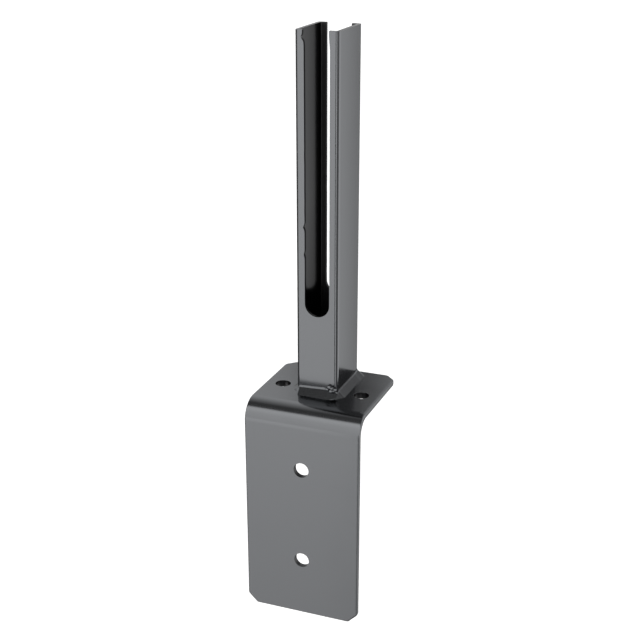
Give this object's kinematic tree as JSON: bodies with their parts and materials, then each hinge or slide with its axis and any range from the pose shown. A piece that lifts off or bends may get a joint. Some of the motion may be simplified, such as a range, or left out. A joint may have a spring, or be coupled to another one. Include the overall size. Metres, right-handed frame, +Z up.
{
  "type": "fence post base plate",
  "caption": "Folded steel angle with a slotted rectangular tube welded on its top leg, for fixing a hollow fence post to the edge of a slab or wall.",
  "frame": {"origin": "underside of the top leg, midway between its two bolt holes", "axes": "+X along the bend, +Y from the vertical leg towards the slab, +Z up along the tube"},
  "size_m": [0.1, 0.096, 0.484],
  "materials": {
    "coated_steel": "gloss powder coat",
    "coated_weld": "gloss powder coat over a weld bead"
  },
  "bodies": {
    "root": {"folded_plate": "coated_steel", "slotted_tube": "coated_steel", "front_weld": "coated_weld", "left_weld": "coated_weld", "right_weld": "coated_weld", "rear_weld": "coated_weld"}
  },
  "joints": []
}
